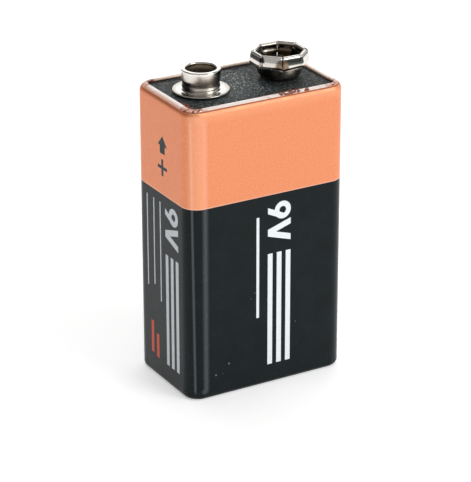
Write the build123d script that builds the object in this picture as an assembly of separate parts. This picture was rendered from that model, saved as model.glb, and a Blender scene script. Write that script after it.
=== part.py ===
from build123d import *
import os
from math import atan2, cos, degrees, hypot, pi, sin, sqrt, tan

os.makedirs("parts", exist_ok=True)

# A nine volt battery, in millimetres. X runs along the wide side, Y through
# the narrow side, Z is up, and the origin is the middle of the base.

# Steel case, rolled in over the boards at both ends
case_width = 25.9
case_depth = 16.3
case_height = 44.55
case_corner = 2.45
case_sheet = 0.30
top_roll = 1.10
top_roll_chords = 4
top_lip = 1.37
top_lip_drop = 0.15
bottom_roll = 0.75
bottom_roll_chords = 2
bottom_lip = 1.60

# Boards and insulating card
top_board_thickness = 1.00
bottom_board_thickness = 0.70
board_clearance = 0.10
card_thickness = 0.30
card_corner = 1.60
liner_film = 0.10
liner_clearance = 0.03

# Snap terminals, pressed from nickel-plated sheet; the inset is from the case's
# end to a terminal's axis, which leaves 12.9 mm between the two axes
terminal_inset = 6.50
terminal_sheet = 0.20

# Male snap, its heights above the top board; its flange is dished
stud_height = 3.54
stud_head_radius = 2.86
stud_head_length = 0.65
stud_rim_bend = 0.20
stud_rim_chords = 2
stud_opening_radius = 2.21
stud_floor = 0.20
stud_neck_radius = 2.66
stud_neck_height = 1.27
stud_bead_radius = 2.76
stud_bead_height = 0.96
stud_groove_radius = 2.68
stud_groove_height = 0.68
stud_foot_radius = 3.05
stud_flange_radius = 4.15
stud_flange_height = 0.34
stud_flange_lift = 0.16
stud_flange_rim = 0.14
stud_flange_bevel = 0.12

# Female snap, its heights above the top board
socket_height = 4.10
socket_cup_radius = 3.24
socket_cup_bend = 0.90
socket_cup_chords = 4
socket_round_height = 1.05
socket_slit_height = 1.85
socket_contact_radius = 2.72
socket_contact_height = 2.70
socket_contact_band = 0.30
socket_contact_coin = 0.06
socket_root_length = 0.15
socket_shoulder_drop = 0.60
socket_flap_reach = 3.95
socket_flap_length = 1.89
socket_flap_flare = 0.10
socket_fold_radius = 0.28
socket_fold_flat = 0.03
socket_fold_chords = 3
socket_fingers = 8
socket_slit = 0.22
socket_turn = -2.5

# Tubular rivets that hold the terminals and the leads on the top board
rivet_radius = 1.05
rivet_bore = 0.70
rivet_head_radius = 1.70
rivet_head_height = 0.25
rivet_tail_radius = 1.60
rivet_tail_height = 0.22
rivet_clearance = 0.05

# Six sealed cells in three columns and two rows, as large as the case holds
cell_side_clearance = 0.04
cell_end_clearance = 0.38
cell_shoulder = 0.25
cell_nub_radius = 1.75
cell_nub_height = 0.70

# Interlocking card dividers that keep the cells apart
divider_card = 0.20
divider_clearance = 0.03
divider_slot_clearance = 0.05

# Nickel strip that joins the cells in series
strip_thickness = 0.15
link_width = 3.00
lead_width = 3.40
lead_room = 2.15
lead_tail = 1.20
lead_bend = 0.50
lead_rise_from_cell = 2.20
lead_slot_clearance = 0.25

# How far a cutter goes through a strip, card or board, and the turns of a bend
through_cut = 3.0
quarter_turn = 90
half_turn = 180
full_turn = 360

# Levels that follow from the stack, from the base upward
bottom_board_top = case_sheet + bottom_board_thickness
bottom_link_low = bottom_board_top + card_thickness
cell_low = bottom_link_low + strip_thickness
board_top = case_height - case_sheet
board_low = board_top - top_board_thickness
top_card_low = board_low - lead_room - card_thickness
cell_top = top_card_low - strip_thickness
cell_length = cell_top - cell_low
lead_high = board_low - strip_thickness / 2
lead_low = cell_top + strip_thickness / 2

# Places and radii that follow from the case and the sheet
liner_inset = case_sheet + liner_clearance
cell_block_inset = liner_inset + liner_film
cell_block_depth = case_depth - 2 * (cell_block_inset + cell_side_clearance)
cell_block_width = case_width - 2 * (cell_block_inset + cell_end_clearance)
cell_gap = divider_card + 2 * divider_clearance
widest_in_depth = (cell_block_depth - cell_gap) / 4
widest_in_width = (cell_block_width - 2 * cell_gap) / 6
cell_radius = min(widest_in_depth, widest_in_width)
cell_row_y = cell_radius + cell_gap / 2
cell_column_pitch = cell_block_width / 2 - cell_radius
half_sheet = terminal_sheet / 2
socket_x = case_width / 2 - terminal_inset
stud_x = -socket_x
rivet_hole = rivet_radius + rivet_clearance

# Cell places, in the order of the series string: odd cells stand plus up
cell_places = [
    (-cell_column_pitch, -cell_row_y),
    (-cell_column_pitch, cell_row_y),
    (0, cell_row_y),
    (0, -cell_row_y),
    (cell_column_pitch, -cell_row_y),
    (cell_column_pitch, cell_row_y),
]


def rounded_outline(inset, level):
    """The case's rounded rectangle, drawn in by inset, at a level."""
    corner = max(case_corner - inset, case_sheet)
    outline = RectangleRounded(case_width - 2 * inset, case_depth - 2 * inset, corner)
    return Plane.XY.offset(level) * outline


def rounded_block(inset, low, high):
    """A block of the case's rounded outline, from low to high."""
    return extrude(rounded_outline(inset, low), amount=high - low)


def rolled_end(level, roll, chords, way):
    """The case's rolled end, above (1) or below (-1) a level, as chords of a bend."""
    step = pi / 2 / chords
    bands = []
    for n in range(chords):
        inset = roll * (1 - cos(n * step))
        start = level + way * roll * sin(n * step)
        rise = roll * (sin((n + 1) * step) - sin(n * step))
        run = roll * (cos(n * step) - cos((n + 1) * step))
        outline = rounded_outline(inset, start)
        bands.append(extrude(outline, amount=way * rise, taper=degrees(atan2(run, rise))))
    return bands


def flat_for(roll):
    """The chamfer that stands for a bend of this radius on a hidden edge."""
    return (2 - sqrt(2)) * roll


def bend_points(centre, radius, start, turn, chords):
    """Points along a bend of a turned section, from start through turn."""
    points = []
    for n in range(chords + 1):
        angle = (start + turn * n / chords) * pi / 180
        points.append((centre[0] + radius * cos(angle), centre[1] + radius * sin(angle)))
    return points


def turned(points):
    """A solid turned about Z from an outline of radius and height points."""
    return revolve(Plane.XZ * make_face(Polyline(*points, close=True)), Axis.Z)


def moved_aside(points, reach):
    """The points of a line moved to one side of it, mitred where it turns."""
    line = [Vector(x, y) for x, y in points]
    along = [(b - a).normalized() for a, b in zip(line, line[1:])]
    along = [along[0]] + along + [along[-1]]
    moved = []
    for point, before, after in zip(line, along, along[1:]):
        way = (before + after).normalized()
        moved.append(point + Vector(-way.Y, way.X) * (reach / way.dot(after)))
    return moved


def sheet_section(points):
    """The section of a bent sheet, from the points of its middle line."""
    outline = moved_aside(points, half_sheet)
    outline += reversed(moved_aside(points, -half_sheet))
    return Plane.XZ * make_face(Polyline(*outline, close=True))


def case_jacket():
    """One steel sheet, drawn round the cells, rolled in and pressed down on its boards."""
    outer = rounded_block(0, bottom_roll, case_height - top_roll)
    outer += rolled_end(case_height - top_roll, top_roll, top_roll_chords, 1)
    outer += rolled_end(bottom_roll, bottom_roll, bottom_roll_chords, -1)
    inner = rounded_block(case_sheet, case_sheet, case_height - case_sheet)
    inner = eased(inner, -1, top_roll - case_sheet)
    inner = eased(inner, 0, bottom_roll - case_sheet)
    top_mouth = rounded_block(top_lip, case_height / 2, case_height + case_sheet)
    bottom_mouth = rounded_block(bottom_lip, -case_sheet, case_height / 2)
    slope = degrees(atan2(top_lip - top_roll, top_lip_drop))
    pressed_down = extrude(rounded_outline(top_roll, case_height), amount=-top_lip_drop, taper=slope)
    return outer - inner - pressed_down - top_mouth - bottom_mouth


def eased(block, end, roll):
    """A block whose bottom (0) or top (-1) edge clears a bend of this radius."""
    return chamfer(block.faces().sort_by(Axis.Z)[end].edges(), flat_for(roll))


def top_board():
    """The fibre board under the top lip, with a hole for each rivet."""
    board = rounded_block(case_sheet + board_clearance, board_low, board_top)
    board = eased(board, -1, top_roll - case_sheet)
    for x in (stud_x, socket_x):
        board -= Pos(x, 0, board_low) * Cylinder(rivet_hole, through_cut)
    return board


def bottom_board():
    """The fibre board that rests on the bottom lip."""
    board = rounded_block(case_sheet + board_clearance, case_sheet, bottom_board_top)
    return eased(board, 0, bottom_roll - case_sheet)


def cell_liner():
    """A film sleeve between the steel case and the block of cells."""
    high = board_low - board_clearance
    sleeve = rounded_block(liner_inset, bottom_board_top, high)
    return sleeve - rounded_block(cell_block_inset, bottom_board_top, high)


def insulator(low):
    """A card pad with clipped corners, over the ends of the cells."""
    inset = cell_block_inset + board_clearance
    outline = Rectangle(case_width - 2 * inset, case_depth - 2 * inset)
    outline = chamfer(outline.vertices(), card_corner)
    return extrude(Plane.XY.offset(low) * outline, amount=card_thickness)


def lead_turn(cell, x):
    """The angle from a cell to the rivet that its lead runs to."""
    return degrees(atan2(-cell[1], x - cell[0]))


def top_insulator():
    """The upper card pad, with a slot where each lead comes up."""
    card = insulator(top_card_low)
    slot_length = lead_width + 2 * lead_slot_clearance
    slot_width = lead_bend + strip_thickness + 2 * lead_slot_clearance
    slot_middle = lead_rise_from_cell - lead_bend / 2
    for cell, x in ((cell_places[0], stud_x), (cell_places[-1], socket_x)):
        slot = Box(slot_width, slot_length, through_cut)
        place = Pos(*cell, top_card_low) * Rot(0, 0, lead_turn(cell, x))
        card -= place * Pos(slot_middle, 0, 0) * slot
    return card


def positive_stud():
    """The male snap: a dished flange, a beaded neck, and a rim turned down inside."""
    rim = stud_rim_bend
    rim_level = board_top + stud_height - rim
    edge_low = board_top + stud_flange_lift
    edge_top = edge_low + stud_flange_rim
    points = [
        (rivet_hole, board_top),
        (stud_foot_radius, board_top),
        (stud_flange_radius, edge_low),
        (stud_flange_radius, edge_top),
        (stud_flange_radius - stud_flange_bevel, edge_top + stud_flange_bevel),
        (stud_foot_radius, board_top + stud_flange_height),
        (stud_groove_radius, board_top + stud_groove_height),
        (stud_bead_radius, board_top + stud_bead_height),
        (stud_neck_radius, board_top + stud_neck_height),
        (stud_head_radius, rim_level - stud_head_length),
    ]
    outer_bend = (stud_head_radius - rim, rim_level)
    inner_bend = (stud_opening_radius + rim, rim_level)
    points += bend_points(outer_bend, rim, 0, quarter_turn, stud_rim_chords)
    points += bend_points(inner_bend, rim, quarter_turn, quarter_turn, stud_rim_chords)
    points += [(stud_opening_radius, board_top + stud_floor)]
    points += [(rivet_hole, board_top + stud_floor)]
    return Pos(stud_x, 0, 0) * turned(points)


def facet_corner(reach, level, number):
    """A corner of the crown's polygon, whose flats stand at reach."""
    step = 2 * pi / socket_fingers
    angle = (number + 0.5) * step
    radius = reach / cos(step / 2)
    return Vector(radius * cos(angle), radius * sin(angle), level)


def crown_blend(reach, low, high):
    """The cup's wall between its round foot and its many-sided top."""
    corners = [facet_corner(reach, high, n) for n in range(socket_fingers + 1)]
    sides = [Edge.make_line(a, b) for a, b in zip(corners, corners[1:])]
    arcs = []
    for n in range(socket_fingers):
        step = full_turn / socket_fingers
        start = (n + 0.5) * step
        plane = Plane.XY.offset(low)
        arcs.append(Edge.make_circle(reach, plane, start, start + step))
    round_foot = Face(Wire(arcs))
    flat_top = Face(Wire(sides))
    return loft([round_foot, flat_top], ruled=True)


def finger(slit_level):
    """One finger: up and in to the contact, over the top and down outside."""
    wall = socket_cup_radius - half_sheet
    contact = socket_contact_radius - socket_contact_coin + half_sheet
    flap = socket_flap_reach - half_sheet
    top = board_top + socket_height - half_sheet
    inner_fold = flap - 2 * socket_fold_radius - socket_fold_flat
    contact_low = board_top + socket_contact_height - socket_contact_band / 2
    flap_low = board_top + socket_height - socket_flap_length
    fold = socket_fold_radius
    points = [
        (wall, slit_level),
        (wall, slit_level + socket_root_length),
        (contact, contact_low),
        (contact, contact_low + socket_contact_band),
        (inner_fold, top - socket_shoulder_drop),
    ]
    rise = (inner_fold + fold, top - fold)
    fall = (flap - fold, top - fold)
    points += bend_points(rise, fold, half_turn, -quarter_turn, socket_fold_chords)
    points += bend_points(fall, fold, quarter_turn, -quarter_turn, socket_fold_chords)
    points += [(flap + socket_flap_flare, flap_low)]
    strip = extrude(sheet_section(points), amount=socket_flap_reach, both=True)
    half_step = pi / socket_fingers
    apex = socket_slit / 2 / sin(half_step)
    reach = 2 * socket_flap_reach
    spread = (reach - apex) * tan(half_step)
    wedge = make_face(Polyline((apex, 0), (reach, -spread), (reach, spread), close=True))
    return strip & extrude(wedge, amount=case_height + socket_height)


def negative_socket():
    """The female snap: a round cup whose wall is slit into sprung fingers."""
    inner_wall = socket_cup_radius - terminal_sheet
    floor = board_top + terminal_sheet
    blend_low = board_top + socket_round_height
    slit_level = board_top + socket_slit_height
    centre = (socket_cup_radius - socket_cup_bend, board_top + socket_cup_bend)
    points = [(rivet_hole, board_top)]
    points += bend_points(centre, socket_cup_bend, -quarter_turn, quarter_turn, socket_cup_chords)
    points += [(socket_cup_radius, blend_low), (inner_wall, blend_low)]
    inner_bend = socket_cup_bend - terminal_sheet
    points += bend_points(centre, inner_bend, 0, -quarter_turn, socket_cup_chords)
    points += [(rivet_hole, floor)]
    cup = turned(points)
    outside = crown_blend(socket_cup_radius, blend_low, slit_level)
    inside = crown_blend(socket_cup_radius - terminal_sheet, blend_low, slit_level)
    socket = cup + (outside - inside)
    one_finger = finger(slit_level)
    for n in range(socket_fingers):
        socket += Rot(0, 0, n * full_turn / socket_fingers) * one_finger
    mouth = Plane.XY.offset(slit_level) * Circle(socket_contact_radius)
    socket -= extrude(mouth, amount=socket_height)
    return Pos(socket_x, 0, 0) * Rot(0, 0, socket_turn) * socket


def rivet(x):
    """A tubular rivet through terminal floor, board and lead, then spread."""
    head_low = board_top + terminal_sheet
    tail_top = board_low - strip_thickness
    points = [
        (rivet_bore, tail_top - rivet_tail_height),
        (rivet_tail_radius, tail_top),
        (rivet_radius, tail_top),
        (rivet_radius, head_low),
        (rivet_head_radius, head_low),
        (rivet_bore, head_low + rivet_head_height),
    ]
    return Pos(x, 0, 0) * turned(points)


def lead(cell, x):
    """A strip from a cell's top end, up through the card, to the rivet."""
    distance = hypot(x - cell[0], cell[1])
    path = FilletPolyline(
        (-lead_tail, 0, lead_low),
        (lead_rise_from_cell, 0, lead_low),
        (lead_rise_from_cell, 0, lead_high),
        (distance + lead_tail + rivet_radius, 0, lead_high),
        radius=lead_bend,
    )
    section = Plane(path @ 0, x_dir=(0, 1, 0), z_dir=path % 0)
    strip = sweep(section * Rectangle(lead_width, strip_thickness), path=path)
    strip -= Pos(distance, 0, lead_high) * Cylinder(rivet_hole, through_cut)
    return Pos(*cell, 0) * Rot(0, 0, lead_turn(cell, x)) * strip


def link(first, second, low):
    """A flat strip welded across the ends of two neighbouring cells."""
    across = hypot(second[0] - first[0], second[1] - first[1])
    turn = degrees(atan2(second[1] - first[1], second[0] - first[0]))
    middle = Pos((first[0] + second[0]) / 2, (first[1] + second[1]) / 2, low)
    outline = Rectangle(across + link_width, link_width)
    return middle * Rot(0, 0, turn) * extrude(outline, amount=strip_thickness)


def row_divider():
    """The long card between the rows, slotted down from its top edge."""
    length = case_width - 2 * (cell_block_inset + cell_side_clearance)
    middle = Pos(0, 0, (cell_low + cell_top) / 2)
    card = middle * Box(length, divider_card, cell_length)
    for side in (-1, 1):
        slot = Box(divider_card + 2 * divider_slot_clearance, through_cut, cell_length / 2)
        place = Pos(side * cell_column_pitch / 2, 0, cell_length / 4)
        card -= middle * place * slot
    return card


def column_divider(side):
    """A short card between two columns, slotted up from its bottom edge."""
    middle = Pos(side * cell_column_pitch / 2, 0, (cell_low + cell_top) / 2)
    card = Box(divider_card, cell_block_depth, cell_length)
    slot = Box(through_cut, divider_card + 2 * divider_slot_clearance, cell_length / 2)
    return middle * (card - Pos(0, 0, -cell_length / 4) * slot)


def cell_can():
    """One sealed can, plus end up: straight wall, crimped shoulder and nub."""
    shoulder = cell_length - cell_nub_height
    points = [
        (0, 0),
        (cell_radius, 0),
        (cell_radius, shoulder - cell_shoulder),
        (cell_radius - cell_shoulder, shoulder),
        (cell_nub_radius, shoulder),
        (cell_nub_radius, cell_length),
        (0, cell_length),
    ]
    return turned(points)


def in_place(shape, number):
    """A cell's piece at its place, turned over where its plus end is down."""
    x, y = cell_places[number]
    if number % 2:
        return Pos(x, y, cell_top) * Rot(half_turn, 0, 0) * shape
    return Pos(x, y, cell_low) * shape


nodes = {
    "case_jacket": case_jacket(),
    "top_board": top_board(),
    "bottom_board": bottom_board(),
    "cell_liner": cell_liner(),
    "row_divider": row_divider(),
    "column_divider_1": column_divider(-1),
    "column_divider_2": column_divider(1),
    "top_insulator": top_insulator(),
    "bottom_insulator": insulator(bottom_board_top),
    "positive_stud": positive_stud(),
    "negative_socket": negative_socket(),
    "positive_rivet": rivet(stud_x),
    "negative_rivet": rivet(socket_x),
    "positive_lead": lead(cell_places[0], stud_x),
    "negative_lead": lead(cell_places[-1], socket_x),
}
can = cell_can()
for number in range(len(cell_places)):
    nodes[f"cell_{number + 1}"] = in_place(can, number)
for number in range(len(cell_places) - 1):
    low = cell_top if number % 2 else bottom_link_low
    pair = link(cell_places[number], cell_places[number + 1], low)
    nodes[f"cell_link_{number + 1}"] = pair

for name, shape in nodes.items():
    export_step(shape, f"parts/{name}.step")
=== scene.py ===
import math

import bmesh
import bpy
from mathutils import Matrix, Vector, noise


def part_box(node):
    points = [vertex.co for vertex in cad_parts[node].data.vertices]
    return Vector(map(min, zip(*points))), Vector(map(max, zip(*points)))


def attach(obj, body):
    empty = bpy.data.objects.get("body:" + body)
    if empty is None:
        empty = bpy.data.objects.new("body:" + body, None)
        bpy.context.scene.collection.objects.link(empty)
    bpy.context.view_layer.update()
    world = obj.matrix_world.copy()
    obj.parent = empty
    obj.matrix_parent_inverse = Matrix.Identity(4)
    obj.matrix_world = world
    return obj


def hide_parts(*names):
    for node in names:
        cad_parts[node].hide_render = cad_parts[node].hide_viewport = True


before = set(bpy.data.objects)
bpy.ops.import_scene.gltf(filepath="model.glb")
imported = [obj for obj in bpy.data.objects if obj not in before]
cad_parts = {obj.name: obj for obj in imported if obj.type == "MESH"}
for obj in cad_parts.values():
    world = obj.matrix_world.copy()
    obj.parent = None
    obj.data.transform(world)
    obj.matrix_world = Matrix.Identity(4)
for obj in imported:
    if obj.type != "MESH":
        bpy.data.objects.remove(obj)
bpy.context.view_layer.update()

# Camera, floor and studio light
# The camera looks down on the battery from above its left front edge. The
# floor and the light are a plain white table in a soft studio.
mm = 0.001
camera_azimuth = math.radians(-29.975)
camera_elevation = math.radians(23.297)
camera_roll = math.radians(-0.071)
camera_distance = 347.2 * mm
aim_height = 23.57 * mm
aim_right = -0.741 * mm
aim_up = -3.464 * mm
image_height_px = 482
focal_length_px = 2380.4
sensor_mm = 36

back = Vector((
    math.sin(camera_azimuth) * math.cos(camera_elevation),
    -math.cos(camera_azimuth) * math.cos(camera_elevation),
    math.sin(camera_elevation),
))
right = Vector((math.cos(camera_azimuth), math.sin(camera_azimuth), 0))
up = back.cross(right)
aim = Vector((0, 0, aim_height)) + right * aim_right + up * aim_up

camera_data = bpy.data.cameras.new("camera")
camera_data.sensor_width = sensor_mm
camera_data.lens = sensor_mm * focal_length_px / image_height_px
camera_data.clip_start = 10 * mm
camera = bpy.data.objects.new("camera", camera_data)
turned = Matrix((right, up, back)).transposed()
rolled = turned @ Matrix.Rotation(camera_roll, 3, "Z")
camera.matrix_world = Matrix.Translation(aim + back * camera_distance) @ rolled.to_4x4()
bpy.context.scene.collection.objects.link(camera)
bpy.context.scene.camera = camera
bpy.context.scene.view_settings.view_transform = "Standard"


def add(tree, kind, inputs=(), **settings):
    """One shader node, its settings given and its inputs set or linked."""
    node = tree.nodes.new("ShaderNode" + kind)
    for name, value in settings.items():
        setattr(node, name, value)
    for socket, value in dict(inputs).items():
        if isinstance(value, bpy.types.NodeSocket):
            tree.links.new(value, node.inputs[socket])
        else:
            node.inputs[socket].default_value = value
    return node


def maths(tree, operation, *values):
    """One sum of two or three values or sockets."""
    node = add(tree, "Math", enumerate(values), operation=operation)
    return node.outputs[0]


def ramp(tree, factor, stops):
    """A colour ramp with its stops given as place and grey or colour."""
    node = add(tree, "ValToRGB", {"Fac": factor})
    elements = node.color_ramp.elements
    while len(elements) < len(stops):
        elements.new(1)
    for element, (place, colour) in zip(elements, stops):
        if isinstance(colour, (int, float)):
            colour = (colour,) * 3
        element.position = place
        element.color = (*colour, 1)
    return node.outputs["Color"]


def mixed(tree, factor, first, second):
    """One colour over another, by a mask."""
    node = add(tree, "Mix", data_type="RGBA")
    for index, value in ((0, factor), (6, first), (7, second)):
        if isinstance(value, bpy.types.NodeSocket):
            tree.links.new(value, node.inputs[index])
        elif index:
            node.inputs[index].default_value = (*value, 1)
        else:
            node.inputs[index].default_value = value
    return node.outputs[2]


def rising(tree, value, low, high):
    """0 below a value of low and 1 above one of high."""
    return add(tree, "MapRange", {"Value": value, "From Min": low, "From Max": high}).outputs["Result"]


def falling(tree, value, low, high):
    """1 below a value of low and 0 above one of high."""
    return maths(tree, "SUBTRACT", 1.0, rising(tree, value, low, high))


def dot(tree, first, second):
    """The dot product of a vector and a fixed one."""
    node = add(tree, "VectorMath", {0: first, 1: second}, operation="DOT_PRODUCT")
    return node.outputs["Value"]


# The room is bright all round, for the metal to mirror. It has a dark gap
# between the overhead and the front panel, a dark wall at the left and a
# brighter panel behind the battery, all of them outside the picture. Each
# edge is given as where it starts to fade and where it ends.
picture_left = (-0.866, 0.5, 0)
picture_back = (0.5, 0.866, 0)
gap_grey = 0.06
ceiling_grey = 0.05
wall_side = (0.46, 0.74)
wall_top = (0.56, 0.66)
panel_grey = 2.4
panel_side = (0.30, 0.55)
panel_front = (0.3, 0.6)
panel_foot = (0.06, 0.16)
panel_top = (0.58, 0.66)
room_strength = 0.75

world = bpy.data.worlds.new("studio")
world.use_nodes = True
bpy.context.scene.world = world
tree = world.node_tree
direction = add(tree, "TexCoord").outputs["Generated"]
rise = add(tree, "SeparateXYZ", {0: direction}).outputs["Z"]
leftward = dot(tree, direction, picture_left)
backward = dot(tree, direction, picture_back)
sky = ramp(tree, rise, [
    (0.0, 0.7), (0.62, 1.0), (0.69, gap_grey), (0.755, gap_grey),
    (0.82, 1.0), (0.92, 1.0), (0.95, ceiling_grey), (1.0, ceiling_grey),
])
wall = ramp(tree, rise, [(0.0, 0.40), (0.14, 0.28), (0.30, 0.08), (0.56, 0.12)])
is_wall = maths(tree, "MULTIPLY", rising(tree, leftward, *wall_side), falling(tree, rise, *wall_top))
room = mixed(tree, is_wall, sky, wall)
off_middle = maths(tree, "ABSOLUTE", leftward)
panel_across = maths(
    tree, "MULTIPLY", falling(tree, off_middle, *panel_side), rising(tree, backward, *panel_front)
)
panel_upward = maths(tree, "MULTIPLY", rising(tree, rise, *panel_foot), falling(tree, rise, *panel_top))
is_panel = maths(tree, "MULTIPLY", panel_across, panel_upward)
background = tree.nodes["Background"]
tree.links.new(mixed(tree, is_panel, room, (panel_grey,) * 3), background.inputs["Color"])
background.inputs["Strength"].default_value = room_strength


def softbox(name, place, size, watts):
    """A square white lamp that faces the battery."""
    lamp = bpy.data.lights.new(name, "AREA")
    lamp.shape = "SQUARE"
    lamp.size = size
    lamp.energy = watts
    thing = bpy.data.objects.new(name, lamp)
    thing.location = place
    thing.rotation_euler = (place - Vector((0, 0, aim_height))).to_track_quat("Z", "Y").to_euler()
    bpy.context.scene.collection.objects.link(thing)
    return thing


key_place = Vector((260, -430, 300)) * mm
key_size = 320 * mm
key_watts = 1.17
overhead_place = Vector((60, 160, 620)) * mm
overhead_size = 420 * mm
overhead_watts = 0.75
softbox("key", key_place, key_size, key_watts)
overhead = softbox("overhead", overhead_place, overhead_size, overhead_watts)
overhead.visible_glossy = False

floor_reach = 3.0
floor_gap = 0.02 * mm
floor_mesh = bmesh.new()
bmesh.ops.create_grid(floor_mesh, x_segments=1, y_segments=1, size=floor_reach)
floor_data = bpy.data.meshes.new("floor")
floor_mesh.to_mesh(floor_data)
floor_mesh.free()
floor = bpy.data.objects.new("floor", floor_data)
floor.location.z = -floor_gap
bpy.context.scene.collection.objects.link(floor)


def new_material(name, colour=(0.5, 0.5, 0.5), metallic=0.0, roughness=0.5):
    """A material with a Principled shader, with its tree and that shader."""
    material = bpy.data.materials.new(name)
    material.use_nodes = True
    shader = material.node_tree.nodes["Principled BSDF"]
    shader.inputs["Base Color"].default_value = (*colour, 1)
    shader.inputs["Metallic"].default_value = metallic
    shader.inputs["Roughness"].default_value = roughness
    return material, material.node_tree, shader


# The table is one plain white all over, with a little light of its own that
# keeps it white to the edges of the picture.
white = (0.93, 0.93, 0.93)
table_roughness = 0.8
table_glow = 0.46
floor_finish, tree, shader = new_material("white table", white, 0, table_roughness)
shader.inputs["Emission Color"].default_value = (*white, 1)
shader.inputs["Emission Strength"].default_value = table_glow
shader.inputs["Specular IOR Level"].default_value = 0
floor_data.materials.append(floor_finish)


# Bottom board
# A plate of dark pressed fibre, punched to the case's inner outline. It rests
# on the case's rolled bottom lip and closes the battery underneath.
def new_group(name, inputs, outputs):
    """A shader node group with its named sockets, open for its nodes."""
    group = bpy.data.node_groups.new(name, "ShaderNodeTree")
    for label, kind in inputs:
        group.interface.new_socket(label, in_out="INPUT", socket_type="NodeSocket" + kind)
    for label, kind in outputs:
        group.interface.new_socket(label, in_out="OUTPUT", socket_type="NodeSocket" + kind)
    start = group.nodes.new("NodeGroupInput")
    end = group.nodes.new("NodeGroupOutput")
    return group, start.outputs, end.inputs


# The grain group gives a cloudy value between Low and High, with clouds of
# Size millimetres.
cloud_detail = 4.0
cloud_low = 0.3
cloud_high = 0.7
grain, given, wanted = new_group(
    "grain",
    [("Place", "Vector"), ("Size", "Float"), ("Low", "Float"), ("High", "Float")],
    [("Value", "Float")],
)
scale = maths(grain, "DIVIDE", 1 / mm, given["Size"])
cloud = add(grain, "TexNoise", {"Vector": given["Place"], "Scale": scale, "Detail": cloud_detail})
spread = add(grain, "MapRange", {
    "Value": cloud.outputs["Fac"], "From Min": cloud_low, "From Max": cloud_high,
    "To Min": given["Low"], "To Max": given["High"],
})
grain.links.new(spread.outputs["Result"], wanted["Value"])


def grained(tree, place, size, low, high):
    """A cloudy value over the surface, from the grain group."""
    node = add(tree, "Group", node_tree=grain)
    tree.links.new(place, node.inputs["Place"])
    node.inputs["Size"].default_value = size
    node.inputs["Low"].default_value = low
    node.inputs["High"].default_value = high
    return node.outputs["Value"]


def relief(tree, shader, height, distance):
    """Fine relief on a shader's surface, distance deep."""
    node = add(tree, "Bump", {"Height": height, "Strength": 1.0, "Distance": distance})
    tree.links.new(node.outputs["Normal"], shader.inputs["Normal"])


def object_place(tree):
    """Where a point is on the battery, in metres."""
    return add(tree, "TexCoord").outputs["Object"]


def plain_finish(name, dark, light, metallic, rough, grain_size, depth):
    """A one-colour finish with cloudy colour and roughness and a fine relief."""
    material, tree, shader = new_material(name, dark, metallic, rough[0])
    place = object_place(tree)
    shade = grained(tree, place, grain_size, 0.0, 1.0)
    tree.links.new(mixed(tree, shade, dark, light), shader.inputs["Base Color"])
    tree.links.new(grained(tree, place, 3 * grain_size, *rough), shader.inputs["Roughness"])
    relief(tree, shader, grained(tree, place, grain_size, 0.0, 1.0), depth)
    return material


def dress(node, material):
    """Gives a carried-over piece its finish."""
    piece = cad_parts[node]
    piece.data.materials.clear()
    piece.data.materials.append(material)


bottom_fibre = plain_finish(
    "bottom fibre board", (0.030, 0.031, 0.033), (0.070, 0.071, 0.074),
    metallic=0, rough=(0.6, 0.85), grain_size=0.25, depth=0.02 * mm,
)
dress("bottom_board", bottom_fibre)


# Cards round the cells
# Two pads of grey card over the ends of the cells, and three slotted cards
# between them. They are cut from one board and only pushed into place.
card_finish = plain_finish(
    "grey card", (0.42, 0.38, 0.31), (0.56, 0.51, 0.43),
    metallic=0, rough=(0.75, 0.95), grain_size=0.5, depth=0.03 * mm,
)
for node in ("bottom_insulator", "top_insulator", "row_divider", "column_divider_1", "column_divider_2"):
    dress(node, card_finish)


# Cells and the strips that join them
# Six sealed cans of nickel-plated steel, with flat nickel strips spot-welded
# across their ends and two bent strips that lead up to the terminals.
cell_finish = plain_finish(
    "cell can", (0.50, 0.51, 0.52), (0.66, 0.67, 0.68),
    metallic=1, rough=(0.28, 0.45), grain_size=2.0, depth=0.004 * mm,
)
for number in range(1, 7):
    dress(f"cell_{number}", cell_finish)
strip_finish = plain_finish(
    "nickel strip", (0.56, 0.54, 0.50), (0.70, 0.68, 0.64),
    metallic=1, rough=(0.25, 0.40), grain_size=0.8, depth=0.004 * mm,
)
for number in range(1, 6):
    dress(f"cell_link_{number}", strip_finish)
for node in ("positive_lead", "negative_lead"):
    dress(node, strip_finish)


# Film liner
# A sleeve of thin clear plastic film, wrapped round the block of cells before
# it goes into the case.
film_finish = plain_finish(
    "liner film", (0.62, 0.65, 0.67), (0.74, 0.77, 0.79),
    metallic=0, rough=(0.18, 0.35), grain_size=6.0, depth=0.02 * mm,
)
dress("cell_liner", film_finish)


# Top board
# Dark pressed fibre with a fine grain, its sparkle painted as glints, held under
# the case's rolled lip. Both terminals are riveted to it.
board_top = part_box("positive_stud")[0].z

# The specks group marks scattered round specks, Size apart, larger with a
# larger Share.
speck_crispness = 12.0
specks, given, wanted = new_group(
    "specks",
    [("Place", "Vector"), ("Size", "Float"), ("Share", "Float")],
    [("Mask", "Float")],
)
scale = maths(specks, "DIVIDE", 1 / mm, given["Size"])
cells = add(specks, "TexVoronoi", {"Vector": given["Place"], "Scale": scale})
inside = maths(specks, "SUBTRACT", given["Share"], cells.outputs["Distance"])
mask = maths(specks, "MULTIPLY", inside, speck_crispness)
clamped = maths(specks, "MINIMUM", maths(specks, "MAXIMUM", mask, 0.0), 1.0)
specks.links.new(clamped, wanted["Mask"])


def specked(tree, place, size, share):
    """A mask of scattered specks, from the specks group."""
    node = add(tree, "Group", node_tree=specks)
    tree.links.new(place, node.inputs["Place"])
    node.inputs["Size"].default_value = size
    node.inputs["Share"].default_value = share
    return node.outputs["Mask"]


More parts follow.
